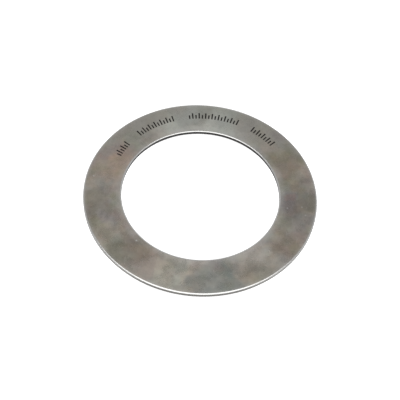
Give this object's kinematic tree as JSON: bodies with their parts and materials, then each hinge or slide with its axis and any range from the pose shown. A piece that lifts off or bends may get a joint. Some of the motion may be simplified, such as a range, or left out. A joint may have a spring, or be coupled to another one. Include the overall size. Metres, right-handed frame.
{
  "type": "thrust bearing washer",
  "caption": "Thin flat hardened-steel ring that gives the rollers or balls of a thrust bearing a hard track, loose on a shaft and in a housing.",
  "frame": {"origin": "on the bearing axis, in the plane of the seat face, which is the flat face away from the rolling elements", "axes": "+Z along the bearing axis, out of the raceway face, which is the face with the rolled edges; +X and +Y are radial, with the etched code centred a little to the left of +Y"},
  "size_m": [0.0597, 0.0596, 0.001],
  "materials": {
    "bearing_steel": "satin, tumbled, with bright rolled edges and a dark shallow etched code"
  },
  "bodies": {
    "root": {"bearing_washer": "bearing_steel"}
  },
  "joints": []
}
